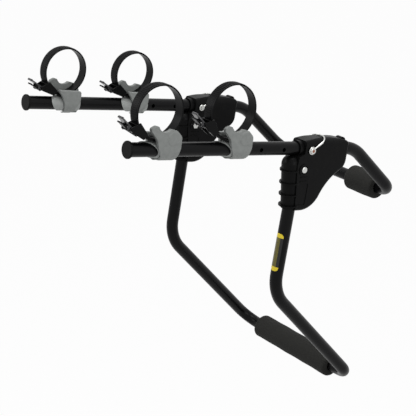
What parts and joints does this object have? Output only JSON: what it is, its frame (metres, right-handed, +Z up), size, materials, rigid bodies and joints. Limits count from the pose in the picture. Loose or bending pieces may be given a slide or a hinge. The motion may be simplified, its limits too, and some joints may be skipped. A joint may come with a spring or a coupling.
{
  "type": "trunk mounted bike rack",
  "caption": "Folding trunk mounted bike rack: bent tube frames with foam pads, fan shaped hubs, straight support arms and grey padded cradles with ratchet straps.",
  "frame": {"origin": "middle of the upper trunk pads' common axis, half way between the two hubs", "axes": "+Z up, +Y forward towards the car with the arms reaching back along -Y, +X to the right of someone who stands behind the car and faces it"},
  "size_m": [0.4434, 0.8145, 0.7271],
  "materials": {
    "black_powder_coat": "satin black powder coat on steel",
    "charcoal_foam": "matt closed cell foam",
    "black_cap_plastic": "moulded black plastic",
    "black_hub_plastic": "moulded black plastic, fine grain",
    "bright_zinc_steel": "bright zinc plated steel",
    "grey_cradle_rubber": "soft moulded grey rubber, matt",
    "grey_sleeve_rubber": "light grey rubber liner",
    "black_strap_plastic": "flexible black plastic with fine teeth",
    "black_buckle_plastic": "moulded black plastic, slight gloss",
    "grey_lever_plastic": "dark plastic with a glossy face"
  },
  "bodies": {
    "rack": {"upper_frame_tube": "black_powder_coat", "right_upper_pad": "charcoal_foam", "left_upper_pad": "charcoal_foam", "right_support_arm": "black_powder_coat", "right_arm_end_cap": "black_cap_plastic", "right_hub_bracket": "black_powder_coat", "right_hub_outer_shell": "black_hub_plastic", "right_hub_inner_shell": "black_hub_plastic", "left_support_arm": "black_powder_coat", "left_arm_end_cap": "black_cap_plastic", "left_hub_bracket": "black_powder_coat", "left_hub_outer_shell": "black_hub_plastic", "left_hub_inner_shell": "black_hub_plastic", "pivot_bolts": "bright_zinc_steel", "pivot_nuts": "bright_zinc_steel", "right_outer_cradle": "grey_cradle_rubber", "right_outer_sleeve": "grey_sleeve_rubber", "right_outer_strap": "black_strap_plastic", "right_outer_buckle_base": "black_buckle_plastic", "right_inner_cradle": "grey_cradle_rubber", "right_inner_sleeve": "grey_sleeve_rubber", "right_inner_strap": "black_strap_plastic", "right_inner_buckle_base": "black_buckle_plastic", "left_outer_cradle": "grey_cradle_rubber", "left_outer_sleeve": "grey_sleeve_rubber", "left_outer_strap": "black_strap_plastic", "left_outer_buckle_base": "black_buckle_plastic", "left_inner_cradle": "grey_cradle_rubber", "left_inner_sleeve": "grey_sleeve_rubber", "left_inner_strap": "black_strap_plastic", "left_inner_buckle_base": "black_buckle_plastic", "buckle_axles": "black_buckle_plastic"},
    "lower_frame": {"lower_frame_tube": "black_powder_coat", "lower_pad": "charcoal_foam"},
    "right_lock": {"right_lock_pin": "bright_zinc_steel", "right_lock_bail": "bright_zinc_steel"},
    "left_lock": {"left_lock_pin": "bright_zinc_steel", "left_lock_bail": "bright_zinc_steel"},
    "right_outer_lever": {"right_outer_buckle_lever": "grey_lever_plastic"},
    "right_inner_lever": {"right_inner_buckle_lever": "grey_lever_plastic"},
    "left_outer_lever": {"left_outer_buckle_lever": "grey_lever_plastic"},
    "left_inner_lever": {"left_inner_buckle_lever": "grey_lever_plastic"},
    "right_outer_tab": {"right_outer_release_tab": "black_buckle_plastic"},
    "right_inner_tab": {"right_inner_release_tab": "black_buckle_plastic"},
    "left_outer_tab": {"left_outer_release_tab": "black_buckle_plastic"},
    "left_inner_tab": {"left_inner_release_tab": "black_buckle_plastic"}
  },
  "joints": [
    {"name": "lower_frame_swing", "type": "hinge", "parent": "rack", "child": "lower_frame", "pos_m": [0, -0.3133, 0.0667], "axis": [1, 0, 0], "range_deg": [0, 60]},
    {"name": "right_lock_turn", "type": "hinge", "parent": "rack", "child": "right_lock", "pos_m": [0.193, -0.3009, 0.1086], "axis": [1, 0, 0], "range_deg": [0, 110]},
    {"name": "left_lock_turn", "type": "hinge", "parent": "rack", "child": "left_lock", "pos_m": [-0.193, -0.3009, 0.1086], "axis": [1, 0, 0], "range_deg": [0, 110]},
    {"name": "right_outer_lever_swing", "type": "hinge", "parent": "rack", "child": "right_outer_lever", "pos_m": [0.193, -0.75615, 0.14772], "axis": [1, 0, 0], "range_deg": [0, 60], "stiffness_Nm_per_rad": 0.01, "springref_deg": -28.65},
    {"name": "right_inner_lever_swing", "type": "hinge", "parent": "rack", "child": "right_inner_lever", "pos_m": [0.193, -0.58282, 0.15648], "axis": [1, 0, 0], "range_deg": [0, 60], "stiffness_Nm_per_rad": 0.01, "springref_deg": -28.65},
    {"name": "left_outer_lever_swing", "type": "hinge", "parent": "rack", "child": "left_outer_lever", "pos_m": [-0.193, -0.72318, 0.13991], "axis": [1, 0, 0], "range_deg": [0, 35], "stiffness_Nm_per_rad": 0.01, "springref_deg": -28.65},
    {"name": "left_inner_lever_swing", "type": "hinge", "parent": "rack", "child": "left_inner_lever", "pos_m": [-0.193, -0.54241, 0.13953], "axis": [1, 0, 0], "range_deg": [0, 35], "stiffness_Nm_per_rad": 0.01, "springref_deg": -28.65},
    {"name": "right_outer_tab_press", "type": "hinge", "parent": "right_outer_lever", "child": "right_outer_tab", "pos_m": [0.193, -0.76701, 0.14895], "axis": [1, 0, 0], "range_deg": [-10, 0], "stiffness_Nm_per_rad": 0.004, "springref_deg": 17.19},
    {"name": "right_inner_tab_press", "type": "hinge", "parent": "right_inner_lever", "child": "right_inner_tab", "pos_m": [0.193, -0.59368, 0.15771], "axis": [1, 0, 0], "range_deg": [-10, 0], "stiffness_Nm_per_rad": 0.004, "springref_deg": 17.19},
    {"name": "left_outer_tab_press", "type": "hinge", "parent": "left_outer_lever", "child": "left_outer_tab", "pos_m": [-0.193, -0.73407, 0.13904], "axis": [1, 0, 0], "range_deg": [-10, 0], "stiffness_Nm_per_rad": 0.004, "springref_deg": 17.19},
    {"name": "left_inner_tab_press", "type": "hinge", "parent": "left_inner_lever", "child": "left_inner_tab", "pos_m": [-0.193, -0.55331, 0.13866], "axis": [1, 0, 0], "range_deg": [-10, 0], "stiffness_Nm_per_rad": 0.004, "springref_deg": 17.19}
  ]
}
